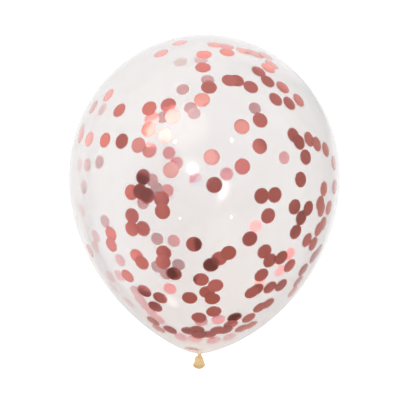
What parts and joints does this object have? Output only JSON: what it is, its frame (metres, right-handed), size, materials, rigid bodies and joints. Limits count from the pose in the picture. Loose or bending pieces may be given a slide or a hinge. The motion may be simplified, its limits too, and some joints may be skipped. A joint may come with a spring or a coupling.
{
  "type": "confetti balloon",
  "caption": "Round clear latex balloon blown to a teardrop, knotted at the neck, with a flattened flared tail and rolled lip; it lies on its side.",
  "frame": {"origin": "on the flat spot that the balloon lies on, straight under its widest ring", "axes": "+Y along the balloon from the knot to the crown, -Z out of the flat spot it lies on, +X across it to the right as seen from the tail"},
  "size_m": [0.28, 0.3452, 0.2777],
  "materials": {
    "clear_latex": "glossy, slightly milky",
    "natural_latex": "satin, translucent cream",
    "rose_gold_foil": "satin metallic"
  },
  "bodies": {
    "root": {"balloon": "clear_latex"}
  },
  "joints": []
}
